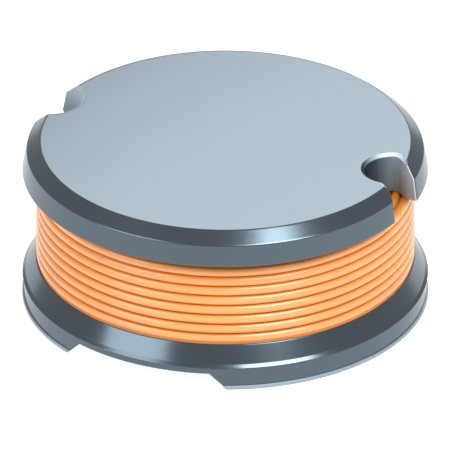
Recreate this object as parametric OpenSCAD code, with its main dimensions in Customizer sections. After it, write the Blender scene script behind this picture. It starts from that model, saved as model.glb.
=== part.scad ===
// Surface-mount power inductor: an open ferrite drum core, one enamelled
// copper winding between its flanges, and a metal terminal under each foot.
// Origin at the centre of the underside, +Z up, the two terminals lie on -X
// and +X, and the channel between the feet runs along Y. Millimetres.

/* [Core] */
// Outer diameter of both flanges
core_d = 10; // [9.7:0.05:10.6]
// Overall height, from the terminals' underside to the top face
total_h = 4.27; // [4.1:0.01:4.6]
// Diameter of the post under the winding
post_d = 4; // [3.4:0.1:5]

/* [Top flange] */
// Thickness of the top flange at its rim
top_t = 0.83; // [0.75:0.01:0.95]
// Width of the sloping edge round the top face, measured along the radius
slope_w = 0.33; // [0.25:0.005:0.4]
// Height of the sloping edge round the top face
slope_h = 0.278; // [0.2:0.002:0.34]
// How far the rim's wall leans in between its lower and its upper edge
draft = 0.1; // [0.02:0.01:0.16]
// Diameter at which the underside starts to slope up to the rim's lower edge
under_d = 9.16; // [9:0.01:9.4]

/* [Wire notches in the top flange] */
// Radius of the deep notch on the +X side
deep_r = 0.73; // [0.6:0.01:0.85]
// Distance of the deep notch's centre from the core's axis
deep_at = 4.39; // [4.2:0.01:4.5]
// Direction of the deep notch's centre, degrees round from +X
deep_dir = 6.4; // [0:0.2:12]
// Width of the deep notch's mouth through the rim
mouth_w = 0.93; // [0.8:0.01:1.2]
// Sideways shift of the mouth from the middle of the round part
mouth_off = -0.065; // [-0.12:0.005:0.02]
// Direction in which the mouth of the deep notch runs out, degrees from +X
mouth_dir = -39; // [-50:1:-15]
// Radius of the shallow notch on the -X side
shallow_r = 0.82; // [0.7:0.01:1]
// Distance of the shallow notch's centre from the core's axis
shallow_at = 4.89; // [4.75:0.01:5]
// Direction of the shallow notch's centre, degrees round from +X
shallow_dir = 178.5; // [172:0.5:184]
// Width of the bevel round the top edge of both notches
lip = 0.07; // [0.03:0.01:0.1]

/* [Lower flange] */
// Height of the face that the winding sits on, above the board
floor_z = 1.085; // [0.98:0.005:1.12]
// Diameter at which the flange starts to slope down round the winding
floor_d = 9.34; // [9.2:0.01:9.45]
// Height of the top of the rim, where the slope ends
rim_z = 0.667; // [0.6:0.005:0.75]
// Width and height of the small bevel on the rim's upper edge
rim_bevel = 0.075; // [0.04:0.005:0.1]
// How far the wall under the bevel is set in from the full diameter
wall_in = 0.04; // [0.02:0.01:0.08]
// Height of the channel's ceiling above the board
channel_z = 0.422; // [0.38:0.002:0.5]
// Width of the channel between the feet, at its ceiling
channel_w = 3.54; // [3.5:0.02:3.8]
// Width of the channel between the feet, at the board
channel_foot_w = 4.35; // [4.2:0.05:4.7]

/* [Winding] */
// Turns of wire in each layer, counted up from the lower flange
turns = 8; // [6:1:8]
// Diameter of the wire over its enamel
wire_d = 0.2656; // [0.24:0.0008:0.2672]
// Outer diameter of the winding
winding_d = 9.325; // [9.1:0.005:9.33]
// Distance of each lead end from the middle of the channel
lead_x = 1.45; // [1.42:0.01:1.48]
// Radius of the bend that takes each lead under the flange
lead_bend = 0.3; // [0.25:0.01:0.32]
// Length of each lead's run under the flange, past its bend
lead_run = 1.7; // [1.5:0.05:2]
// Radius of the two lead slots in the lower flange's rim
slot_r = 0.24; // [0.22:0.01:0.25]

/* [Terminals] */
// Thickness of the metal under each foot
pad_t = 0.1; // [0.06:0.01:0.14]
// Thickness of the metal that climbs each foot's inner side
flank_t = 0.05; // [0.03:0.01:0.06]
// Height to which the metal climbs the foot's inner side
flank_z = 0.36; // [0.3:0.01:0.37]
// Half length, along the channel, of the metal on the foot's inner side
flank_y = 3.7; // [3.6:0.05:3.9]
// Length of each solder joint along its lead
solder_l = 1.2; // [0.8:0.05:1.4]

/* [Hidden] */

R = core_d / 2;
top_z = total_h;
under_z = total_h - top_t;          // underside of the top flange
post_r = post_d / 2;
// one wire diameter, or less where the turns would not fit between the flanges
pitch = min(wire_d, (under_z - floor_z) / turns);
wire_r = pitch / 2;
coil_top = floor_z + turns * pitch;  // and the flat of the top flange that closes the winding in
lead_r = wire_r - 0.003;             // a lead end, no longer squeezed in the coil
coil_r = winding_d / 2 - wire_r;     // centre line of the outer layer
wall_r = R - wall_in;
// where a lead goes down through its slot
lead_y = sqrt(coil_r * coil_r - lead_x * lead_x);
lead_z = channel_z - wire_r - 0.005; // centre line of the run under the flange
// slope of the feet's inner sides
flank_run = (channel_foot_w - channel_w) / 2;
function flank_x(z) = channel_foot_w / 2 - flank_run * z / channel_z;
// the same side seen square on, for the thickness of the metal on it
flank_slant = flank_t * sqrt(flank_run * flank_run + channel_z * channel_z) / channel_z;
eps = 0.01;
fine = 180;

// half section of the whole drum, before notches, slots and channel are cut
module drum_section() {
    polygon([
        [0, pad_t], [wall_r, pad_t], [wall_r, rim_z - rim_bevel - 0.03],
        [R, rim_z - rim_bevel], [R - rim_bevel, rim_z],
        [floor_d / 2, floor_z], [post_r, floor_z], [post_r, coil_top],
        [under_d / 2, coil_top], [R - 0.03, under_z], [R, under_z + 0.03],
        [R - draft, top_z - slope_h], [R - draft - slope_w, top_z], [0, top_z]]);
}

// offsets of the mouth's two straight walls from the middle of the round part
far_wall = mouth_off + mouth_w / 2;
near_wall = mouth_off - mouth_w / 2;

// plan of the deep notch: a round bottom and a slanting mouth
module deep_plan() {
    rotate(deep_dir) translate([deep_at, 0]) {
        intersection() {
            circle(r = deep_r, $fn = 96);
            // the far side of the round runs straight into the mouth's wall
            rotate(mouth_dir - deep_dir)
                translate([-2, -2]) square([4, 2 + far_wall]);
        }
        rotate(mouth_dir - deep_dir)
            translate([0, near_wall]) square([2.2, mouth_w]);
    }
}

// cutter for the deep notch, with the bevel round its top edge
module deep_cut() {
    translate([0, 0, coil_top - eps]) linear_extrude(top_z - coil_top + 2 * eps) deep_plan();
    rotate(deep_dir) translate([deep_at, 0, 0]) {
        // bevel of the round part, stopped where the straight wall begins
        intersection() {
            translate([0, 0, top_z - lip])
                cylinder(r1 = deep_r, r2 = deep_r + lip + eps, h = lip + eps, $fn = 96);
            rotate(mouth_dir - deep_dir)
                translate([-3, -3, 0]) cube([6, 3 + far_wall, 6]);
        }
        // bevels of the two straight walls
        rotate(mouth_dir - deep_dir) {
            translate([-sqrt(deep_r * deep_r - far_wall * far_wall), far_wall, top_z - lip])
                wedge(3, lip + eps);
            mirror([0, 1, 0])
                translate([sqrt(deep_r * deep_r - near_wall * near_wall), -near_wall, top_z - lip])
                    wedge(3, lip + eps);
        }
    }
}

// three-sided bar along +X whose section opens upwards and towards +Y
module wedge(l, s) {
    translate([l, 0, 0]) rotate([90, 0, -90]) linear_extrude(l)
        polygon([[0.0, 0], [0.0, s], [-s, s]]);
}

// cutter for the shallow notch, a plain round scoop with the same bevel
module shallow_cut() {
    rotate(shallow_dir) translate([shallow_at, 0, 0]) {
        translate([0, 0, coil_top - eps]) cylinder(r = shallow_r, h = top_z - coil_top + 2 * eps, $fn = 96);
        translate([0, 0, top_z - lip])
            cylinder(r1 = shallow_r, r2 = shallow_r + lip + eps, h = lip + eps, $fn = 96);
    }
}

// slot in the lower flange's rim that lets one lead down
module lead_slot() {
    translate([lead_x, lead_y - 0.12, channel_z - eps]) {
        cylinder(r = slot_r, h = 1, $fn = 48);
        translate([-slot_r, 0, 0]) cube([2 * slot_r, 2, 1]);
    }
}

module drum_core() {
    color([0.30, 0.36, 0.41])
    difference() {
        rotate_extrude($fn = fine) drum_section();
        deep_cut();
        shallow_cut();
        for (s = [0, 1]) mirror([s, 0, 0]) lead_slot();
        // channel between the feet
        rotate([90, 0, 0]) translate([0, 0, -core_d])
            linear_extrude(2 * core_d) polygon([
                [-flank_x(0), 0], [flank_x(0), 0],
                [flank_x(channel_z), channel_z], [-flank_x(channel_z), channel_z]]);
    }
}

// one lead end: down through its slot, round a bend and in under the flange
module lead() {
    translate([lead_x, lead_y, 0]) {
        translate([0, 0, lead_z + lead_bend])
            cylinder(r = lead_r, h = floor_z + wire_r - lead_z - lead_bend, $fn = 32);
        translate([0, -lead_bend, lead_z + lead_bend]) rotate([0, 90, 0])
            rotate_extrude(angle = 90, $fn = 64)
                translate([lead_bend, 0]) circle(r = lead_r, $fn = 32);
        translate([0, -lead_bend, lead_z]) rotate([90, 0, 0])
            cylinder(r = lead_r, h = lead_run, $fn = 32);
    }
}

module winding() {
    color([0.98, 0.62, 0.32])
    union() {
        // the packed layers, with each turn of the outer one showing as a rib
        rotate_extrude($fn = fine) {
            translate([post_r, floor_z + 0.02])
                square([coil_r - post_r, coil_top - floor_z - 0.04]);
            for (i = [0 : turns - 1])
                translate([coil_r, floor_z + wire_r + i * pitch]) circle(r = wire_r, $fn = 32);
        }
        for (s = [0, 1]) mirror([s, 0, 0]) lead();
    }
}

// metal under one foot, and its strip up the foot's inner side
module terminal() {
    intersection() {
        cylinder(r = R, h = 1, $fn = fine);
        union() {
            rotate([90, 0, 0]) translate([0, 0, -core_d]) linear_extrude(2 * core_d)
                polygon([[flank_x(0), 0], [R + 1, 0], [R + 1, pad_t], [flank_x(pad_t), pad_t]]);
            rotate([90, 0, 0]) translate([0, 0, -flank_y]) linear_extrude(2 * flank_y)
                polygon([[flank_x(0) - flank_slant, 0], [flank_x(0) + 0.2, 0],
                         [flank_x(0) + 0.2, pad_t], [flank_x(pad_t), pad_t],
                         [flank_x(flank_z), flank_z], [flank_x(flank_z) - flank_slant, flank_z]]);
        }
    }
}

module terminal_left() { color([0.72, 0.75, 0.77]) mirror([1, 0, 0]) terminal(); }
module terminal_right() { color([0.72, 0.75, 0.77]) terminal(); }

// solder that fills the corner between one lead and the metal beside it
module solder() {
    z0 = 0.12;
    x0 = lead_x - wire_r * 0.6;
    difference() {
        translate([0, lead_y - lead_bend - 0.3, 0]) rotate([90, 0, 0])
            linear_extrude(solder_l) polygon([
                [x0, lead_z - wire_r * 0.4], [lead_x, lead_z - wire_r - 0.03],
                [lead_x + wire_r, lead_z - wire_r - 0.02],
                [flank_x(z0) - flank_slant, z0],
                [flank_x(flank_z) - flank_slant, flank_z],
                [lead_x + wire_r * 0.6, flank_z]]);
        translate([lead_x, lead_y, lead_z]) rotate([90, 0, 0])
            cylinder(r = lead_r, h = 4, $fn = 32);
    }
}

module solder_left() { color([0.80, 0.82, 0.83]) mirror([1, 0, 0]) solder(); }
module solder_right() { color([0.80, 0.82, 0.83]) solder(); }

drum_core();
winding();
terminal_left();
terminal_right();
solder_left();
solder_right();
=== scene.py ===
import math

import bpy
import numpy as np
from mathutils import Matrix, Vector
from mathutils.geometry import delaunay_2d_cdt


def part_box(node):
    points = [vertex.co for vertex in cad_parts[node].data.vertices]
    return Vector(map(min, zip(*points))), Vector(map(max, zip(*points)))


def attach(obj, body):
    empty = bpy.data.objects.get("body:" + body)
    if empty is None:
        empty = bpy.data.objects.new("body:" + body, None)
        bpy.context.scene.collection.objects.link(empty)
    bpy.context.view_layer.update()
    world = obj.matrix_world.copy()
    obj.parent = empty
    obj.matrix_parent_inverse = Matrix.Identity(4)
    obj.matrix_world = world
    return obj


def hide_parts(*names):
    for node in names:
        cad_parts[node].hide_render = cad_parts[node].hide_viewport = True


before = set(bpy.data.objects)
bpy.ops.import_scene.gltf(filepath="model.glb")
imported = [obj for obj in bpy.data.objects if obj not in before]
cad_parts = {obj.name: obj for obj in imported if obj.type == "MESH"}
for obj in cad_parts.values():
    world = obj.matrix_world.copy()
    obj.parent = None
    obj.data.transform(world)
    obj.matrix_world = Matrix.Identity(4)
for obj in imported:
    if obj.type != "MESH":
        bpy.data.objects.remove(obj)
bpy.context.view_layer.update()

MM = 0.001

# ---------------------------------------------------------------- sizes, mm
lo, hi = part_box("drum_core")
R = hi.y / MM                       # flange radius
TOP = hi.z / MM                     # top face
PAD = lo.z / MM                     # underside of the feet, on the terminals
UNDER = TOP - 0.83                  # lower edge of the top flange's rim
FLOOR = 1.085                       # face that the winding sits on
POST_R = 2.0
TURNS = 8
PITCH = 0.2656                      # one wire diameter
WIRE_R = PITCH / 2
FIRST_Z = FLOOR + WIRE_R            # centre line of the lowest turn
COIL_TOP = FLOOR + TURNS * PITCH    # flat of the top flange over the winding
UNDER_R = 4.58                      # where the underside starts to slope up to the rim
COIL_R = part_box("winding")[1].x / MM - WIRE_R
SLOPE_W, SLOPE_H = 0.33, 0.278      # sloping edge of the top flange
DRAFT = 0.1                         # how far the rim's wall leans in
LIP = 0.07                          # bevel round the notches' top edge
CHANNEL_Z, CHANNEL_HALF, CHANNEL_FOOT = 0.422, 1.77, 2.175
WALL_R = R - 0.04
LEAD_X = 1.45
LEAD_Y = math.sqrt(COIL_R ** 2 - LEAD_X ** 2)
LEAD_R = WIRE_R - 0.003
LEAD_Z = CHANNEL_Z - WIRE_R - 0.005
SLOT_R = 0.24


def flank_x(z):
    """Half width of the channel between the feet at height z."""
    return CHANNEL_FOOT - (CHANNEL_FOOT - CHANNEL_HALF) * z / CHANNEL_Z


def unit(deg):
    return np.array([math.cos(math.radians(deg)), math.sin(math.radians(deg))])


# ------------------------------------------------------------ mesh helpers
def make_object(name, verts, faces, sharp_deg=32.0, marks=None):
    """A smooth-shaded closed mesh from vertices in millimetres; marks gives some faces another material slot."""
    import bmesh

    me = bpy.data.meshes.new(name)
    me.from_pydata([tuple(float(c) for c in v) for v in verts], [], faces)
    for i, slot in (marks or {}).items():
        me.polygons[i].material_index = slot
    bm = bmesh.new()
    bm.from_mesh(me)
    bmesh.ops.remove_doubles(bm, verts=bm.verts, dist=1e-4)
    bmesh.ops.dissolve_degenerate(bm, dist=1e-5, edges=bm.edges)
    wires = [e for e in bm.edges if not e.link_faces]
    if wires:
        bmesh.ops.delete(bm, geom=wires, context="EDGES")
    loose = [v for v in bm.verts if not v.link_faces]
    if loose:
        bmesh.ops.delete(bm, geom=loose, context="VERTS")
    bmesh.ops.recalc_face_normals(bm, faces=bm.faces)
    bad = sum(1 for e in bm.edges if len(e.link_faces) != 2)
    print(f"{name}: {len(bm.verts)} verts, {sum(len(f.verts) - 2 for f in bm.faces)} tris, open edges {bad}")
    for v in bm.verts:
        v.co *= MM
    bm.to_mesh(me)
    bm.free()
    me.shade_smooth()
    me.set_sharp_from_angle(angle=math.radians(sharp_deg))
    ob = bpy.data.objects.new(name, me)
    bpy.context.scene.collection.objects.link(ob)
    return ob


class Builder:
    """Collects vertices and faces, in millimetres."""

    def __init__(self):
        self.verts, self.faces, self.marks = [], [], {}

    def ring(self, pts):
        start = len(self.verts)
        self.verts.extend([tuple(p) for p in pts])
        return list(range(start, start + len(pts)))

    def bridge(self, a, b, closed=True):
        n = len(a)
        for i in range(n if closed else n - 1):
            j = (i + 1) % n
            self.faces.append((a[i], a[j], b[j], b[i]))

    def loft(self, rings, closed=True):
        ids = [self.ring(r) for r in rings]
        for a, b in zip(ids, ids[1:]):
            self.bridge(a, b, closed)
        return ids

    def fill(self, *loops):
        """A flat cap: the first loop is its outline and the others are holes."""
        flat = [i for loop in loops for i in loop]
        edges = []
        for loop in loops:
            k, n = len(edges), len(loop)
            edges += [(k + i, k + (i + 1) % n) for i in range(n)]
        spots = [Vector(self.verts[i][:2]) for i in flat]
        _, _, tris, source, _, _ = delaunay_2d_cdt(spots, edges, [], 0, 1e-7)
        xy = np.array([tuple(p) for p in spots])
        a, c = xy[[e[0] for e in edges]], xy[[e[1] for e in edges]]
        kept = []
        for t in tris:
            k = [source[v][0] for v in t]
            x, y = xy[k].mean(axis=0)
            cut = (a[:, 1] > y) != (c[:, 1] > y)
            met = a[cut, 0] + (y - a[cut, 1]) / (c[cut, 1] - a[cut, 1]) * (c[cut, 0] - a[cut, 0])
            if np.count_nonzero(met > x) % 2:
                kept.append(k)

        # slivers that lie along the outside of a straight wall are dropped
        def sides(k):
            return [frozenset((k[j], k[(j + 1) % 3])) for j in range(3)]

        same = {v: s[0] for s in source for v in s}
        walls = {frozenset((same[i], same[j])) for i, j in edges}
        while True:
            uses = {}
            for k in kept:
                for e in sides(k):
                    uses[e] = uses.get(e, 0) + 1
            good = [k for k in kept if abs(np.linalg.det(xy[k[1:]] - xy[k[0]])) > 1e-6
                    or all(e in walls or uses[e] == 2 for e in sides(k))]
            if len(good) == len(kept):
                break
            kept = good
        self.faces += [tuple(flat[v] for v in k) for k in kept]


# ------------------------------------------- outlines with rounded corners
class Arc:
    """Part of a circle; solid=+1 where the material is inside it, -1 where it is outside."""

    def __init__(self, c, r, solid):
        self.c, self.r, self.solid = np.array(c, float), r, solid

    def sd(self, p):
        return self.solid * (np.linalg.norm(p - self.c) - self.r)

    def grad(self, p):
        d = p - self.c
        return self.solid * d / np.linalg.norm(d)

    def sample(self, a, b, n):
        t0 = math.atan2(*(a - self.c)[::-1])
        t1 = math.atan2(*(b - self.c)[::-1])
        if self.solid > 0:
            while t1 <= t0:
                t1 += 2 * math.pi
        else:
            while t1 >= t0:
                t1 -= 2 * math.pi
        t = np.linspace(t0, t1, n + 1)
        return np.c_[self.c[0] + self.r * np.cos(t), self.c[1] + self.r * np.sin(t)]


class Line:
    """A straight wall through p whose outward normal, away from the material, is n."""

    def __init__(self, p, n):
        self.p, self.n = np.array(p, float), np.array(n, float)

    def sd(self, p):
        return float((p - self.p) @ self.n)

    def grad(self, p):
        return self.n

    def sample(self, a, b, n):
        t = np.linspace(0, 1, n + 1)[:, None]
        return a + (b - a) * t


def corner(one, two, guess, f, n):
    """Fillet of radius f between two walls (negative f: a hollow corner). Returns its points."""
    p = np.array(guess, float)
    target = -f
    for _ in range(60):
        e = np.array([one.sd(p) - target, two.sd(p) - target])
        j = np.array([one.grad(p), two.grad(p)])
        p = p - np.linalg.solve(j, e)
        if np.abs(e).max() < 1e-10:
            break
    a = p - (one.sd(p)) * one.grad(p)
    b = p - (two.sd(p)) * two.grad(p)
    if abs(f) < 1e-9:
        return np.array([a, b])
    t0 = math.atan2(*(a - p)[::-1])
    t1 = math.atan2(*(b - p)[::-1])
    d = (t1 - t0 + math.pi) % (2 * math.pi) - math.pi
    t = t0 + d * np.linspace(0, 1, n + 1)
    return np.c_[p[0] + abs(f) * np.cos(t), p[1] + abs(f) * np.sin(t)]


def rounded(points, radii, n=4):
    """A profile with its inner points replaced by arcs of the radii given, 0 for none."""
    pts = [np.array(p, float) for p in points]
    out = [pts[0]]
    for i in range(1, len(pts) - 1):
        r = radii[i]
        if r <= 0:
            out.append(pts[i])
            continue
        u = pts[i - 1] - pts[i]
        v = pts[i + 1] - pts[i]
        u /= np.linalg.norm(u)
        v /= np.linalg.norm(v)
        ang = math.acos(max(-1, min(1, float(u @ v))))
        t = r / math.tan(ang / 2)
        a, b = pts[i] + u * t, pts[i] + v * t
        bis = (u + v) / np.linalg.norm(u + v)
        c = pts[i] + bis * r / math.sin(ang / 2)
        t0 = math.atan2(*(a - c)[::-1])
        t1 = math.atan2(*(b - c)[::-1])
        d = (t1 - t0 + math.pi) % (2 * math.pi) - math.pi
        for k in range(n + 1):
            t = t0 + d * k / n
            out.append(c + r * np.array([math.cos(t), math.sin(t)]))
    out.append(pts[-1])
    return out


def held(points, share=0.05, least=0.04):
    """The same profile with points just inside the ends of each straight part, which keep its shading flat."""
    out = [points[0]]
    for a, b in zip(points, points[1:]):
        a, b = np.array(a, float), np.array(b, float)
        size = np.linalg.norm(b - a)
        if size > least:
            t = min(0.2, max(share, 0.006 / size))
            out += [a + (b - a) * t, b - (b - a) * t]
        out.append(b)
    return out


# ------------------------------------------------------------- ferrite core
DEEP_C = 4.39 * unit(6.4)           # middle of the deep notch's round part
DEEP_R = 0.73
M_DIR, M_N = unit(-39.0), unit(51.0)  # along the deep notch's mouth, and across it
FAR, NEAR = -0.065 + 0.465, -0.065 - 0.465
SHALLOW_C = 4.89 * unit(178.5)
SHALLOW_R = 0.82


def top_outline(r, g, f=0.035):
    """Outline of the top flange where its radius is r and the notches are wider by g."""
    rim = Arc((0, 0), r, 1)
    near = Line(DEEP_C + M_N * (NEAR - g), M_N)
    ring = Arc(DEEP_C, DEEP_R + g, -1)
    far = Line(DEEP_C + M_N * (FAR + g), -M_N)
    scoop = Arc(SHALLOW_C, SHALLOW_R + g, -1)

    def rim_at(wall, start):
        """Where the wall meets the rim, near start, found by walking both to zero."""
        p = np.array(start, float)
        for _ in range(60):
            e = np.array([wall.sd(p), rim.sd(p)])
            p = p - np.linalg.solve(np.array([wall.grad(p), rim.grad(p)]), e)
        return p

    s_near = math.sqrt(max((DEEP_R + g) ** 2 - (NEAR - g) ** 2, 0.01))
    s_far = math.sqrt(max((DEEP_R + g) ** 2 - (FAR + g) ** 2, 0.01))
    near_rim = corner(rim, near, rim_at(near, (4.9, -0.65)), 0.02, 5)
    cusp = corner(near, ring, DEEP_C + M_DIR * s_near + M_N * (NEAR - g - 0.03), 0.012, 5)
    hollow = corner(ring, far, DEEP_C - M_DIR * s_far + M_N * (FAR + g), -(0.22 + g), 8)
    far_rim = corner(far, rim, rim_at(far, (4.9, 0.6)), f, 5)
    north = corner(rim, scoop, rim_at(scoop, r * unit(168.5)), f, 5)
    south = corner(scoop, rim, rim_at(scoop, r * unit(188.5)), f, 5)
    return walk([(near_rim, near, 10), (cusp, ring, 44), (hollow, far, 14),
                 (far_rim, rim, 190), (north, scoop, 36), (south, rim, 190)])


def walk(steps):
    """Corner, then the wall that leaves it, and so on round the outline."""
    out = []
    n = len(steps)
    for i, (c, wall, count) in enumerate(steps):
        nxt = steps[(i + 1) % n][0]
        out.extend(c[:-1])
        out.extend(wall.sample(c[-1], nxt[0], count)[:-1])
    return np.array(out)


def lip_g(z):
    """How much wider the notches are at height z: rounded at the foot of the flange, bevelled at the top."""
    e = 0.03
    if z < COIL_TOP + e:
        return e - math.sqrt(max(e * e - (e - (z - COIL_TOP)) ** 2, 0.0))
    start, k = TOP - LIP, 0.008
    if z <= start - k:
        return 0.0
    if z < start + k:
        return (z - (start - k)) ** 2 / (4 * k)
    turn = TOP - 0.014
    if z <= turn:
        return z - start
    u = min(1.0, (z - turn) / 0.014)
    return (turn - start) + 0.028 * (1 - math.sqrt(max(0.0, 1 - u * u)))


def top_levels():
    """Radius and height of each level of the top flange, from its foot up to the top face."""
    pts = rounded([(UNDER_R - 0.12, COIL_TOP), (UNDER_R, COIL_TOP), (R - 0.02, UNDER), (R, UNDER + 0.02),
                   (R - DRAFT, TOP - SLOPE_H), (R - DRAFT - SLOPE_W, TOP), (R - DRAFT - SLOPE_W - 0.06, TOP)],
                  [0, 0.03, 0.02, 0.03, 0.05, 0.06, 0], 5)
    pts = pts[:1] + held(pts[1:-1]) + pts[-1:]
    # more levels where the bevel of the notches starts and ends
    extra = [COIL_TOP + 0.006, COIL_TOP + 0.015, COIL_TOP + 0.03, TOP - LIP - 0.008, TOP - LIP - 0.003, TOP - LIP + 0.003, TOP - LIP + 0.008, TOP - 0.03]
    out = []
    for a, b in zip(pts, pts[1:]):
        out.append(tuple(a))
        for z in extra:
            if a[1] + 1e-6 < z < b[1] - 1e-6:
                t = (z - a[1]) / (b[1] - a[1])
                out.append((a[0] + (b[0] - a[0]) * t, z))
    out.append(tuple(pts[-1]))
    return out


def slot_outline(r, g, f=0.035):
    """Outline of the lower flange at radius r, with its two lead slots wider by g."""
    rim = Arc((0, 0), r, 1)
    steps = []
    mid_y = LEAD_Y - 0.12
    half = SLOT_R + g
    a_foot = math.degrees(math.acos(CHANNEL_HALF / WALL_R))

    def pin(p):
        return np.array([p, p])

    def walls(sx):
        inner = Arc((sx * LEAD_X, mid_y), half, -1)
        right = Line((sx * LEAD_X + half, mid_y), (-1, 0))
        left = Line((sx * LEAD_X - half, mid_y), (1, 0))
        yr = math.sqrt(r * r - (sx * LEAD_X + half) ** 2)
        yl = math.sqrt(r * r - (sx * LEAD_X - half) ** 2)
        c1 = corner(rim, right, (sx * LEAD_X + half, yr), f, 4)
        c2 = pin(np.array([sx * LEAD_X + half, mid_y]))
        c3 = pin(np.array([sx * LEAD_X - half, mid_y]))
        c4 = corner(left, rim, (sx * LEAD_X - half, yl), f, 4)
        return [(c1, right, 5), (c2, inner, 16), (c3, left, 5), (c4, rim, None)]

    w1, w2 = walls(1), walls(-1)
    # near the winding the slots' corners lie closer than the feet's, and the points at the back keep clear of them
    first = w1[0][0][0]
    a_back = min(a_foot, math.degrees(math.atan2(first[1], first[0])) - 0.4)
    fixed = [r * unit(-a_foot), r * unit(a_back), r * unit(180 - a_back), r * unit(180 + a_foot)]
    steps = [(pin(fixed[0]), rim, 120), (pin(fixed[1]), rim, 3)] + w1[:3] + [(w1[3][0], rim, 30)] + \
        w2[:3] + [(w2[3][0], rim, 3), (pin(fixed[2]), rim, 120), (pin(fixed[3]), rim, 40)]
    return steps


def low_outline(r, g, f=0.035):
    return walk(slot_outline(r, g, f))


def at(z, xy):
    return np.c_[xy, np.full(len(xy), z)]


def circle(r, n, z):
    t = np.linspace(0, 2 * math.pi, n, endpoint=False)
    return np.c_[r * np.cos(t), r * np.sin(t), np.full(n, z)]


def build_core():
    b = Builder()
    # top flange
    rings = []
    levels = top_levels()
    edge_top = levels[-2][0]
    edge_low = levels[1][0]
    for k, (r, z) in enumerate(levels):
        g = lip_g(z)
        if k == 0:
            g += edge_low - r
        if k == len(levels) - 1:
            g += edge_top - r
        rings.append(at(z, top_outline(r, g)))
    first = len(b.faces)
    ids = b.loft(rings)
    count = len(ids[0])
    for k, ((r0, z0), (r1, z1)) in enumerate(zip(levels, levels[1:])):
        for i in range(first + k * count, first + (k + 1) * count):
            x, y = np.mean([b.verts[v][:2] for v in b.faces[i]], axis=0)
            if z1 - z0 > 1e-4 and math.hypot(x, y) < (r0 + r1) / 2 - 0.012:
                b.marks[i] = 1              # a wall or bevel of a notch
    b.fill(ids[-1])
    # post, straight between the two flanges
    post = [(POST_R, FLOOR), (POST_R, COIL_TOP)]
    n = 128
    pids = b.loft([circle(r, n, z) for r, z in post])
    b.fill(ids[0], pids[-1])
    # lower flange, from the floor of the winding space down to the channel's ceiling
    prof = rounded([(4.60, FLOOR), (4.67, FLOOR), (R - 0.075, 0.667), (R, 0.592), (WALL_R, 0.562), (WALL_R, CHANNEL_Z)],
                   [0, 0.012, 0.012, 0.008, 0.0, 0], 4)
    prof = held(prof)
    low = []
    for k, (r, z) in enumerate(prof):
        g = 0.0
        e = 0.02
        if z > FLOOR - e:
            g = e - math.sqrt(max(e * e - (z - (FLOOR - e)) ** 2, 0.0))
        if k == 0:
            g += 0.03
        low.append(at(z, low_outline(r, g, 0.03)))
    lids = b.loft(low)
    b.fill(lids[0], pids[0])
    # feet, down from the channel's ceiling
    last = lids[-1]
    i0 = 0                       # foot corner at the front right
    i1 = 120 + 0                 # foot corner at the back right
    m = len(last)
    n_arc, n_chord = 120, 30
    j0 = m - 40 - 120            # foot corner at the back left
    j1 = m - 40                  # foot corner at the front left
    right_arc = last[i0:i1 + 1]
    left_arc = last[j0:j1 + 1]
    feet = []
    for sx, arc in ((1, right_arc), (-1, left_arc)):
        p_first = np.array(b.verts[arc[0]][:2])
        p_last = np.array(b.verts[arc[-1]][:2])
        chord = [b.ring([(*(p_last + (p_first - p_last) * t), CHANNEL_Z)])[0] for t in np.linspace(0, 1, n_chord + 1)[1:-1]]
        loop = list(arc) + chord
        prev = loop
        for z in np.linspace(CHANNEL_Z, PAD, 7)[1:]:
            x = flank_x(z)
            y = math.sqrt(WALL_R ** 2 - x * x)
            if sx > 0:
                a0, a1 = math.atan2(-y, x), math.atan2(y, x)
            else:
                a0, a1 = math.atan2(y, -x), math.atan2(-y, -x) + 2 * math.pi
            t = np.linspace(a0, a1, n_arc + 1)
            pts = [(WALL_R * math.cos(u), WALL_R * math.sin(u), z) for u in t]
            pf, pl = np.array(pts[0][:2]), np.array(pts[-1][:2])
            pts += [(*(pl + (pf - pl) * u), z) for u in np.linspace(0, 1, n_chord + 1)[1:-1]]
            cur = b.ring(pts)
            b.bridge(prev, cur)
            prev = cur
        b.fill(prev)
        feet.append(chord)
    # ceiling of the channel: back edge with the slots, left chord, front edge, right chord
    ceiling = last[i1:j0 + 1] + feet[1] + last[j1:] + [last[0]] + feet[0][::-1]
    b.fill(ceiling)
    return make_object("core_body", b.verts, b.faces, marks=b.marks)


# ------------------------------------------------------------------ winding
def frames_along(path):
    """Rotation-minimising frames along a path."""
    p = np.asarray(path)
    t = np.gradient(p, axis=0)
    t /= np.linalg.norm(t, axis=1)[:, None]
    n0 = np.array([0.0, 0.0, 1.0])
    n = n0 - t[0] * (n0 @ t[0])
    if np.linalg.norm(n) < 0.2:
        n = np.array([1.0, 0.0, 0.0]) - t[0] * t[0][0]
    n /= np.linalg.norm(n)
    out = [n]
    for i in range(1, len(p)):
        n = out[-1] - t[i] * (out[-1] @ t[i])
        n /= np.linalg.norm(n)
        out.append(n)
    n = np.array(out)
    return t, n, np.cross(t, n)


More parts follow.
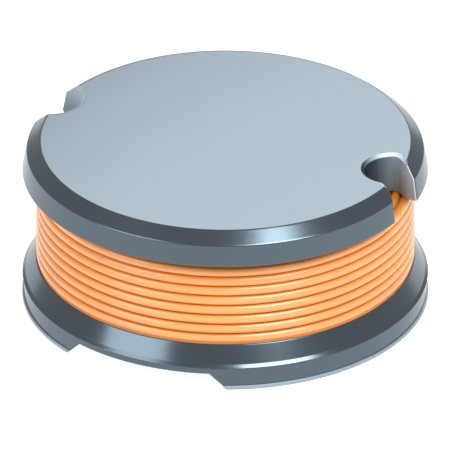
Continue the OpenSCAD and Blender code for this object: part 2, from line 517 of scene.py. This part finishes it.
def tube(b, path, radius, sides):
    """A closed round tube with domed ends along the path."""
    p = np.asarray(path, float)
    t, n, m = frames_along(p)
    ang = np.linspace(0, 2 * math.pi, sides, endpoint=False)
    rr = np.broadcast_to(np.asarray(radius, float), (len(p),))

    def ring_at(c, i, r):
        return c + r * (np.cos(ang)[:, None] * n[i] + np.sin(ang)[:, None] * m[i])

    rings = []
    for s in (0.35, 0.75):
        rings.append(ring_at(p[0] - t[0] * rr[0] * 0.5 * (1 - s), 0, rr[0] * math.sin(s * math.pi / 2)))
    rings += [ring_at(p[i], i, rr[i]) for i in range(len(p))]
    for s in (0.75, 0.35):
        rings.append(ring_at(p[-1] + t[-1] * rr[-1] * 0.5 * (1 - s), len(p) - 1, rr[-1] * math.sin(s * math.pi / 2)))
    ids = b.loft(rings)
    for end, c in ((0, p[0] - t[0] * rr[0] * 0.5), (-1, p[-1] + t[-1] * rr[-1] * 0.5)):
        k = b.ring([tuple(c)])[0]
        loop = ids[end]
        for i in range(sides):
            b.faces.append((loop[i], loop[(i + 1) % sides], k))


def smooth(u):
    return u * u * (3 - 2 * u)


def coil_path():
    """The whole winding: ten layers of eight turns, each turn level but for a short step at the back."""
    layers = 10
    pts = []
    step = math.radians(26)
    back = math.pi / 2
    z = [FIRST_Z + i * PITCH for i in range(TURNS)]
    gap = (COIL_R - (POST_R + WIRE_R)) / (layers - 1)
    for layer in range(layers):
        r = POST_R + WIRE_R + layer * gap
        outer = layer == layers - 1
        segs = 216 if outer else (84 if layer >= 5 else 40)
        order = z if layer % 2 == 0 else z[::-1]
        for k, zi in enumerate(order):
            last_turn = outer and k == TURNS - 1
            end = back + 2 * math.pi - step / 2
            if last_turn:
                end = math.atan2(LEAD_Y, LEAD_X) + 2 * math.pi - math.radians(6)
            for a in np.linspace(back + step / 2, end, segs + 1):
                pts.append((r * math.cos(a), r * math.sin(a), zi))
            if last_turn:
                break
            # the step at the back, up or down a turn, or out to the next layer
            nxt = order[k + 1] if k + 1 < len(order) else zi
            r2 = r if k + 1 < len(order) else r + gap
            ns = max(6, int(segs * step / (2 * math.pi)) + 2)
            for u in np.linspace(0, 1, ns + 1)[1:-1]:
                a = back - step / 2 + step * u
                w = smooth(u)
                rr = r + (r2 - r) * w
                pts.append((rr * math.cos(a), rr * math.sin(a), zi + (nxt - zi) * w))
    return pts


def lead_points(sx):
    """One lead from its slot, under the flange, to its solder joint; the first point is at the coil."""
    x, y = sx * LEAD_X, LEAD_Y
    bend = 0.3
    pts = []
    for z in np.linspace(0.93, LEAD_Z + bend, 6):
        pts.append((x, y, z))
    for a in np.linspace(0, math.pi / 2, 11)[1:]:
        pts.append((x, y - bend * (1 - math.cos(a)), LEAD_Z + bend - bend * math.sin(a)))
    for u in np.linspace(0, 1, 22)[1:]:
        pts.append((x, y - bend - 1.7 * u, LEAD_Z))
    return pts


def build_winding():
    b = Builder()
    path = coil_path()
    end = np.array(path[-1])
    prev = np.array(path[-2])
    tang = (end - prev) / np.linalg.norm(end - prev)
    down = lead_points(1)
    first = np.array(down[0])
    # from the last turn the wire turns down into its slot
    mid = []
    handle = 0.26
    for u in np.linspace(0, 1, 12)[1:-1]:
        c0, c1 = end, end + tang * handle
        c3, c2 = first, first + np.array([0, 0, handle * 0.6])
        mid.append((1 - u) ** 3 * c0 + 3 * (1 - u) ** 2 * u * c1 + 3 * (1 - u) * u * u * c2 + u ** 3 * c3)
    full = [np.array(p) for p in path] + mid + [np.array(p) for p in down]
    tube(b, full, WIRE_R * 0.998, 12)
    other = [(-LEAD_X, LEAD_Y, FIRST_Z - WIRE_R * 0.4), (-LEAD_X, LEAD_Y, 1.0)] + lead_points(-1)
    tube(b, other, LEAD_R, 14)
    # enamel that has pooled under the lowest turn, against the flange, filling the shaded gap there; it stops short of
    # the slots. Its darker orange colour, on material slot 1, is painted shade.
    first = len(b.faces)
    angles = np.radians(np.linspace(117, 420, 260))
    rings = []
    for i, a in enumerate(angles):
        size = min(1.0, 0.15 + 0.85 * min(i, len(angles) - 1 - i) / 5)
        ring = []
        for r, z in ((0.04, 0.05), (0.04, 0.0006), (0.110, 0.0006), (0.1075, 0.034), (0.1120, 0.0610)):
            r, z = 0.04 + (r - 0.04) * size, 0.0006 + (z - 0.0006) * size
            ring.append(((COIL_R + r) * math.cos(a), (COIL_R + r) * math.sin(a), FLOOR + z))
        rings.append(ring)
    ids = b.loft(rings)
    b.faces += [tuple(ids[0]), tuple(ids[-1])]
    for i in range(first, len(b.faces)):
        b.marks[i] = 1
    return make_object("copper_winding", b.verts, b.faces, 60, marks=b.marks)


# ---------------------------------------------------------------- terminals
def pad_outline(r, z, inset, f):
    """D-shaped outline of the metal under the right foot."""
    rim = Arc((0, 0), r - inset, 1)
    x = flank_x(z) + inset
    chord = Line((x, 0), (-1, 0))
    y = math.sqrt((r - inset) ** 2 - x * x)
    c_low = corner(chord, rim, (x, -y), f, 4)
    c_high = corner(rim, chord, (x, y), f, 4)
    return walk([(c_low, rim, 130), (c_high, chord, 40)])


def build_terminal(sx):
    name = "terminal_plate_right" if sx > 0 else "terminal_plate_left"
    b = Builder()
    e = 0.02
    rings = []
    levels = [(0.0, e + 0.02), (0.0, e)] + [(e - e * math.cos(a), e - e * math.sin(a)) for a in np.linspace(0, math.pi / 2, 4)[1:]]
    levels += [(PAD - e + e * math.sin(a), e - e * math.cos(a)) for a in np.linspace(0, math.pi / 2, 4)]
    levels += [(PAD, e + 0.02)]
    for z, inset in levels:
        rings.append(at(z, pad_outline(R, z, inset, 0.015)))
    ids = b.loft(rings)
    b.fill(ids[0])
    b.fill(ids[-1])
    # the strip that climbs the inner side of the foot
    slant = 0.05 * math.hypot(CHANNEL_FOOT - CHANNEL_HALF, CHANNEL_Z) / CHANNEL_Z
    zs = [0.012, 0.03] + list(np.linspace(0.08, 0.33, 5)) + [0.352]
    ys = np.linspace(-3.7, 3.7, 61)
    loops = []
    for k, y in enumerate(ys):
        edge = min(1.0, min(k, len(ys) - 1 - k) / 1.0 + 0.35)
        outer = [(flank_x(z) - slant * edge * (1.0 if 0.02 < z < 0.34 else 0.6), y, z) for z in zs]
        inner = [(flank_x(z) + 0.01, y, z) for z in zs[::-1]]
        loops.append(outer + inner)
    ids = b.loft(loops)
    for loop in (ids[0], ids[-1]):
        n = len(zs)
        for i in range(n - 1):
            b.faces.append((loop[i], loop[i + 1], loop[2 * n - 2 - i], loop[2 * n - 1 - i]))
    verts = [(sx * v[0], v[1], v[2]) for v in b.verts]
    return make_object(name, verts, b.faces)


def build_solder(sx):
    """Solder drawn up between a lead and the metal beside it, hollow on its open side."""
    name = "solder_joint_right" if sx > 0 else "solder_joint_left"
    b = Builder()
    slant = 0.05 * math.hypot(CHANNEL_FOOT - CHANNEL_HALF, CHANNEL_Z) / CHANNEL_Z
    y_top = LEAD_Y - 0.3 - 0.3
    length = 1.2
    ns = 22
    loops = []
    for k in range(ns + 1):
        u = k / ns
        y = y_top - length * u
        fat = math.sin(math.pi * min(max(u, 0.0), 1.0)) ** 0.45 if 0 < u < 1 else 0.0
        fat = max(fat, 0.12)
        z_hi = min(0.355, LEAD_Z + 0.085 * fat)
        z_lo = 0.33 - 0.20 * fat
        fx = lambda z: flank_x(z) - slant + 0.004
        cx, cz = LEAD_X, LEAD_Z
        pts = []
        # over the lead towards the metal
        a0, a1 = math.radians(62), math.radians(62)
        p_start = (cx + LEAD_R * 1.03 * math.cos(a0), cz + LEAD_R * 1.03 * math.sin(a0))
        for t in np.linspace(0, 1, 5):
            pts.append((p_start[0] + (fx(z_hi) - p_start[0]) * t, min(p_start[1] + (z_hi - p_start[1]) * t, 0.414)))
        # down the metal
        for t in np.linspace(0, 1, 7)[1:]:
            z = z_hi + (z_lo - z_hi) * t
            pts.append((fx(z), z))
        # the hollow face back to the lead's underside
        ang = math.radians(-62 - 55 * fat)
        p_end = (cx + LEAD_R * 1.06 * math.cos(ang), cz + LEAD_R * 1.06 * math.sin(ang))
        p_mid = ((pts[-1][0] + p_end[0]) / 2 - 0.02, max(pts[-1][1], p_end[1]) + 0.02 * fat)
        for t in np.linspace(0, 1, 9)[1:]:
            x = (1 - t) ** 2 * pts[10][0] + 2 * (1 - t) * t * p_mid[0] + t * t * p_end[0]
            z = (1 - t) ** 2 * pts[10][1] + 2 * (1 - t) * t * p_mid[1] + t * t * p_end[1]
            pts.append((x, z))
        # back inside the lead
        for t in np.linspace(0, 1, 5)[1:-1]:
            a = ang + (a0 - ang) * t
            pts.append((cx + LEAD_R * 0.8 * math.cos(a), cz + LEAD_R * 0.8 * math.sin(a)))
        loops.append([(p[0], y, p[1]) for p in pts])
    ids = b.loft(loops)
    for end in (0, -1):
        loop = ids[end]
        c = np.mean([b.verts[i] for i in loop], axis=0)
        c[1] += 0.02 if end == 0 else -0.02
        k = b.ring([tuple(c)])[0]
        for i in range(len(loop)):
            b.faces.append((loop[i], loop[(i + 1) % len(loop)], k))
    verts = [(sx * v[0], v[1], v[2]) for v in b.verts]
    return make_object(name, verts, b.faces, 50)


# ---------------------------------------------------------------- materials
def new_material(name):
    m = bpy.data.materials.new(name)
    m.use_nodes = True
    nt = m.node_tree
    nt.nodes.clear()
    out = nt.nodes.new("ShaderNodeOutputMaterial")
    sh = nt.nodes.new("ShaderNodeBsdfPrincipled")
    nt.links.new(sh.outputs["BSDF"], out.inputs["Surface"])
    return m, nt, sh


def noise(nt, scale, detail=4.0, rough=0.55, vector=None, dist=0.0):
    n = nt.nodes.new("ShaderNodeTexNoise")
    n.inputs["Scale"].default_value = scale
    n.inputs["Detail"].default_value = detail
    n.inputs["Roughness"].default_value = rough
    n.inputs["Distortion"].default_value = dist
    if vector is not None:
        nt.links.new(vector, n.inputs["Vector"])
    return n


def coords(nt):
    return nt.nodes.new("ShaderNodeTexCoord").outputs["Object"]


def ramp(nt, fac, stops):
    r = nt.nodes.new("ShaderNodeValToRGB")
    el = r.color_ramp.elements
    while len(el) < len(stops):
        el.new(0.5)
    for e, (pos, col) in zip(el, stops):
        e.position = pos
        e.color = col if len(col) == 4 else (*col, 1.0)
    nt.links.new(fac, r.inputs["Fac"])
    return r.outputs["Color"]


def spread(nt, fac, low, high):
    m = nt.nodes.new("ShaderNodeMapRange")
    m.inputs["From Min"].default_value = 0.25
    m.inputs["From Max"].default_value = 0.75
    m.inputs["To Min"].default_value = low
    m.inputs["To Max"].default_value = high
    nt.links.new(fac, m.inputs["Value"])
    return m.outputs["Result"]


def bump(nt, height, distance, strength, under=None):
    b = nt.nodes.new("ShaderNodeBump")
    b.inputs["Distance"].default_value = distance
    b.inputs["Strength"].default_value = strength
    nt.links.new(height, b.inputs["Height"])
    if under is not None:
        nt.links.new(under, b.inputs["Normal"])
    return b.outputs["Normal"]


def ferrite():
    """Ground ferrite: near black, with a blue-grey gloss."""
    m, nt, sh = new_material("ferrite_grey")
    co = coords(nt)
    cloud = noise(nt, 900, 3, 0.5, co)
    grain = noise(nt, 26000, 5, 0.65, co)
    col = ramp(nt, cloud.outputs["Fac"], [(0.3, (0.0125, 0.0135, 0.015)), (0.7, (0.0145, 0.0155, 0.017))])
    nt.links.new(col, sh.inputs["Base Color"])
    nt.links.new(spread(nt, grain.outputs["Fac"], 0.165, 0.195), sh.inputs["Roughness"])
    sh.inputs["IOR"].default_value = 2.2
    sh.inputs["Specular Tint"].default_value = (0.62, 0.83, 1.0, 1.0)
    nt.links.new(bump(nt, grain.outputs["Fac"], 0.000003, 0.02), sh.inputs["Normal"])
    return m


def notch_ferrite():
    """The notches' walls, left as fired: dull. Their base colour holds painted shade and painted highlight set by
    position: in the deep notch dark on one side and paler towards the other, with a painted highlight along its bevel;
    in the shallow notch paler towards the top.
    """
    m, nt, sh = new_material("ferrite_as_fired_painted_shade")
    co = coords(nt)
    xyz = nt.nodes.new("ShaderNodeSeparateXYZ")
    nt.links.new(co, xyz.inputs[0])
    across = nt.nodes.new("ShaderNodeVectorMath")
    across.operation = "DOT_PRODUCT"
    across.inputs[1].default_value = (0.9026, 0.4305, 0.0)
    nt.links.new(co, across.inputs[0])
    grain = noise(nt, 16000, 5, 0.65, co)

    def band(value, low, high, grainy=0.12):
        r = nt.nodes.new("ShaderNodeMapRange")
        r.inputs["From Min"].default_value = low
        r.inputs["From Max"].default_value = high
        nt.links.new(value, r.inputs["Value"])
        add = nt.nodes.new("ShaderNodeMath")
        add.operation = "MULTIPLY_ADD"
        add.inputs[1].default_value = grainy
        nt.links.new(grain.outputs["Fac"], add.inputs[0])
        nt.links.new(r.outputs["Result"], add.inputs[2])
        return add.outputs["Value"]

    def mix(fac, one, two):
        n = nt.nodes.new("ShaderNodeMix")
        n.data_type = "RGBA"
        nt.links.new(fac, n.inputs["Factor"])
        nt.links.new(one, n.inputs[6])
        nt.links.new(two, n.inputs[7])
        return n.outputs[2]

    # position across the deep notch, from the side with painted shade to the side with painted light
    deep = band(across.outputs["Value"], 0.0034, 0.0047)
    # painted shade on the deep notch's walls: dark on one side, going to a pale painted light on the other
    walls = ramp(nt, deep, [(0.06, (0.002, 0.005, 0.009)), (0.30, (0.030, 0.050, 0.066)),
                            (0.65, (0.170, 0.215, 0.240)), (0.946, (0.43, 0.47, 0.50))])
    # painted highlight along the bevel round the deep notch's top edge, darker at both ends
    edges = ramp(nt, deep, [(0.06, (0.004, 0.010, 0.016)), (0.24, (0.25, 0.33, 0.39)), (0.45, (0.60, 0.66, 0.71)),
                            (0.80, (0.48, 0.56, 0.63)), (0.88, (0.12, 0.22, 0.31)), (0.946, (0.12, 0.22, 0.31))])
    top = band(xyz.outputs["Z"], TOP * MM - LIP * MM - 0.000006, TOP * MM - LIP * MM + 0.000004, 0.0)
    right = mix(top, walls, edges)
    # painted shade on the shallow notch's walls: darker low down, paler towards the top
    left = ramp(nt, band(xyz.outputs["Z"], 0.0032, 0.0042), [(0.06, (0.10, 0.115, 0.125)), (0.5, (0.17, 0.20, 0.225)),
                                                              (0.946, (0.27, 0.34, 0.40))])
    side = band(across.outputs["Value"], -0.0001, 0.0001, 0.0)
    nt.links.new(mix(side, left, right), sh.inputs["Base Color"])
    nt.links.new(spread(nt, grain.outputs["Fac"], 0.45, 0.6), sh.inputs["Roughness"])
    sh.inputs["IOR"].default_value = 1.4
    nt.links.new(bump(nt, grain.outputs["Fac"], 0.000005, 0.3), sh.inputs["Normal"])
    return m


def enamel(pooled=False):
    m, nt, sh = new_material("pooled_enamel_painted_shade" if pooled else "wire_enamel")
    co = coords(nt)
    cloud = noise(nt, 1500, 3, 0.5, co)
    fine = noise(nt, 14000, 4, 0.6, co)
    if pooled:
        # painted shade: the bead is a darker orange than the wire, standing for the shade where the lowest turn meets
        # the flange
        col = ramp(nt, cloud.outputs["Fac"], [(0.3, (0.56, 0.175, 0.018)), (0.7, (0.64, 0.20, 0.024))])
        nt.links.new(col, sh.inputs["Base Color"])
        nt.links.new(spread(nt, fine.outputs["Fac"], 0.3, 0.4), sh.inputs["Roughness"])
        nt.links.new(bump(nt, fine.outputs["Fac"], 0.000003, 0.2), sh.inputs["Normal"])
        return m
    col = ramp(nt, cloud.outputs["Fac"], [(0.3, (0.80, 0.315, 0.092)), (0.7, (0.85, 0.345, 0.112))])
    # painted shade: the base colour is darker where two turns meet, in the grooves between them, which is where the
    # outer layer is nearest the axis
    flat = nt.nodes.new("ShaderNodeVectorMath")
    flat.operation = "MULTIPLY"
    flat.inputs[1].default_value = (1.0, 1.0, 0.0)
    nt.links.new(co, flat.inputs[0])
    far = nt.nodes.new("ShaderNodeVectorMath")
    far.operation = "LENGTH"
    nt.links.new(flat.outputs["Vector"], far.inputs[0])
    crest = nt.nodes.new("ShaderNodeMapRange")
    crest.interpolation_type = "SMOOTHSTEP"
    crest.inputs["From Min"].default_value = (COIL_R + WIRE_R * 0.50) * MM
    crest.inputs["From Max"].default_value = (COIL_R + WIRE_R * 0.80) * MM
    nt.links.new(far.outputs["Value"], crest.inputs["Value"])
    groove_painted_shade = nt.nodes.new("ShaderNodeMix")
    groove_painted_shade.data_type = "RGBA"
    # the painted shade's darker orange
    groove_painted_shade.inputs[6].default_value = (0.70, 0.235, 0.026, 1.0)
    nt.links.new(crest.outputs["Result"], groove_painted_shade.inputs["Factor"])
    nt.links.new(col, groove_painted_shade.inputs[7])
    nt.links.new(groove_painted_shade.outputs[2], sh.inputs["Base Color"])
    nt.links.new(spread(nt, fine.outputs["Fac"], 0.26, 0.36), sh.inputs["Roughness"])
    sh.inputs["IOR"].default_value = 1.5
    sh.inputs["Coat Weight"].default_value = 0.6
    sh.inputs["Coat Roughness"].default_value = 0.12
    nt.links.new(bump(nt, fine.outputs["Fac"], 0.000003, 0.15), sh.inputs["Normal"])
    return m


def tin():
    m, nt, sh = new_material("tin_plate")
    co = coords(nt)
    cloud = noise(nt, 2500, 4, 0.6, co)
    fine = noise(nt, 30000, 4, 0.6, co)
    col = ramp(nt, cloud.outputs["Fac"], [(0.3, (0.26, 0.34, 0.41)), (0.7, (0.31, 0.39, 0.46))])
    nt.links.new(col, sh.inputs["Base Color"])
    sh.inputs["Metallic"].default_value = 0.5
    nt.links.new(spread(nt, cloud.outputs["Fac"], 0.45, 0.6), sh.inputs["Roughness"])
    nt.links.new(bump(nt, fine.outputs["Fac"], 0.000004, 0.3), sh.inputs["Normal"])
    return m


def solder_metal():
    m, nt, sh = new_material("solder_bright")
    co = coords(nt)
    cloud = noise(nt, 5000, 4, 0.6, co)
    col = ramp(nt, cloud.outputs["Fac"], [(0.3, (0.55, 0.57, 0.59)), (0.7, (0.68, 0.70, 0.72))])
    nt.links.new(col, sh.inputs["Base Color"])
    sh.inputs["Metallic"].default_value = 0.95
    nt.links.new(spread(nt, cloud.outputs["Fac"], 0.18, 0.34), sh.inputs["Roughness"])
    nt.links.new(bump(nt, cloud.outputs["Fac"], 0.000008, 0.3), sh.inputs["Normal"])
    return m


def lit_floor():
    """A white table lit from inside, as for a cut-out picture, so that shadows stay faint."""
    m, nt, sh = new_material("pale_floor")
    co = coords(nt)
    n = noise(nt, 120, 3, 0.5, co)
    col = ramp(nt, n.outputs["Fac"], [(0.3, (0.27, 0.27, 0.27)), (0.7, (0.29, 0.29, 0.29))])
    nt.links.new(col, sh.inputs["Base Color"])
    sh.inputs["Roughness"].default_value = 0.9
    sh.inputs["Specular IOR Level"].default_value = 0.1
    sh.inputs["Emission Color"].default_value = (1.0, 1.0, 1.0, 1.0)
    sh.inputs["Emission Strength"].default_value = 0.92
    # clear from below, so that the underside can be looked at
    side = nt.nodes.new("ShaderNodeNewGeometry")
    clear = nt.nodes.new("ShaderNodeBsdfTransparent")
    mix = nt.nodes.new("ShaderNodeMixShader")
    nt.links.new(side.outputs["Backfacing"], mix.inputs["Fac"])
    nt.links.new(sh.outputs["BSDF"], mix.inputs[1])
    nt.links.new(clear.outputs["BSDF"], mix.inputs[2])
    nt.links.new(mix.outputs["Shader"], next(n for n in nt.nodes if n.type == "OUTPUT_MATERIAL").inputs["Surface"])
    return m


def use(ob, mat):
    ob.data.materials.append(mat)


# -------------------------------------------------------------------- build
FERRITE, AS_FIRED_PAINTED_SHADE, ENAMEL, POOLED_PAINTED_SHADE, TIN, SOLDER = ferrite(), notch_ferrite(), enamel(), enamel(True), tin(), solder_metal()

pieces = [
    (build_core(), "drum_core", "ferrite", FERRITE),
    (build_winding(), "winding", "enamelled_wire", ENAMEL),
    (build_terminal(-1), "terminal_left", "terminal_metal", TIN),
    (build_terminal(1), "terminal_right", "terminal_metal", TIN),
    (build_solder(-1), "solder_left", "solder", SOLDER),
    (build_solder(1), "solder_right", "solder", SOLDER),
]
for ob, node, slot, mat in pieces:
    use(ob, mat)
    if node == "drum_core":
        # second slot: the notches' walls, whose colour holds painted shade and painted highlight
        ob.data.materials.append(AS_FIRED_PAINTED_SHADE)
    if node == "winding":
        # the bead's material, a darker orange that is painted shade
        ob.data.materials.append(POOLED_PAINTED_SHADE)
    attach(ob, "root")
    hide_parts(node)
for node, mat in (("drum_core", FERRITE), ("winding", ENAMEL), ("terminal_left", TIN), ("terminal_right", TIN),
                  ("solder_left", SOLDER), ("solder_right", SOLDER)):
    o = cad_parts[node]
    for s in o.material_slots:
        s.material = mat

# ------------------------------------------------------------ camera, stage
AZ, EL = math.radians(25.5), math.asin(0.4838)
cam_right = Vector((math.cos(AZ), math.sin(AZ), 0))
cam_toward = Vector((math.sin(AZ), -math.cos(AZ), 0))
back = cam_toward * math.cos(EL) + Vector((0, 0, math.sin(EL)))
cam_up = back.cross(cam_right)
cam = bpy.data.cameras.new("camera")
cam.type = "ORTHO"
cam.ortho_scale = 450 / 40.6 * MM
cam.clip_start, cam.clip_end = 0.0005, 1.0
cam_ob = bpy.data.objects.new("camera", cam)
bpy.context.scene.collection.objects.link(cam_ob)
cam_ob.location = (cam_up * 1.645 - cam_right * 0.007) * MM + back * 0.05
cam_ob.rotation_mode = "QUATERNION"
cam_ob.rotation_quaternion = back.to_track_quat("Z", "Y")
bpy.context.scene.camera = cam_ob


def place(az_deg, el_deg, dist):
    """A point round the object; azimuth 0 is the camera's own side and + is to its right."""
    a, e = math.radians(az_deg), math.radians(el_deg)
    return (cam_toward * math.cos(a) + cam_right * math.sin(a)) * math.cos(e) * dist + Vector((0, 0, math.sin(e) * dist))


def sheet(name, rings, mat, light=None):
    """A sheet of the studio from rows of points in mm; light(point, column), if given, is stored as each point's glow
    colour attribute, which no material here reads.
    """
    rows, cols = len(rings), len(rings[0])
    verts = [p for row in rings for p in row]
    faces = [(i * cols + j, i * cols + j + 1, (i + 1) * cols + j + 1, (i + 1) * cols + j)
             for i in range(rows - 1) for j in range(cols - 1)]
    me = bpy.data.meshes.new(name)
    me.from_pydata([tuple(float(c) * MM for c in v) for v in verts], [], faces)
    if light is not None:
        at = me.color_attributes.new("glow", "FLOAT_COLOR", "POINT")
        for i, v in enumerate(verts):
            at.data[i].color = (*light(v, i % cols), 1.0)
    o = bpy.data.objects.new(name, me)
    bpy.context.scene.collection.objects.link(o)
    me.materials.append(mat)
    return o


floor = sheet("floor", [[(-150, -150, -0.002), (150, -150, -0.002)], [(-150, 150, -0.002), (150, 150, -0.002)]], lit_floor())

world = bpy.data.worlds.new("world")
bpy.context.scene.world = world
world.use_nodes = True
world.node_tree.nodes["Background"].inputs["Color"].default_value = (1.0, 1.0, 1.0, 1)
world.node_tree.nodes["Background"].inputs["Strength"].default_value = 0.5

def towards(az, el):
    v = place(az, el, 1.0)
    return np.array([v.x, v.y, v.z])


# plain soft studio light: a pale surround and three large soft panels
def soft_light(name, az, el, dist, size, power):
    lamp = bpy.data.lights.new(name, "AREA")
    lamp.shape = "DISK"
    lamp.size = size * MM
    lamp.energy = power
    o = bpy.data.objects.new(name, lamp)
    bpy.context.scene.collection.objects.link(o)
    o.location = Vector(tuple(towards(az, el) * dist)) * MM
    o.rotation_euler = (-o.location).to_track_quat("-Z", "Y").to_euler()


soft_light("key", 35, 50, 60, 34, 0.030)
soft_light("fill", -55, 35, 60, 40, 0.014)
soft_light("back", 170, 45, 60, 40, 0.012)

scene = bpy.context.scene
scene.view_settings.view_transform = "Standard"
scene.view_settings.look = "None"
scene.view_settings.exposure = 0.0
scene.view_settings.gamma = 1.0
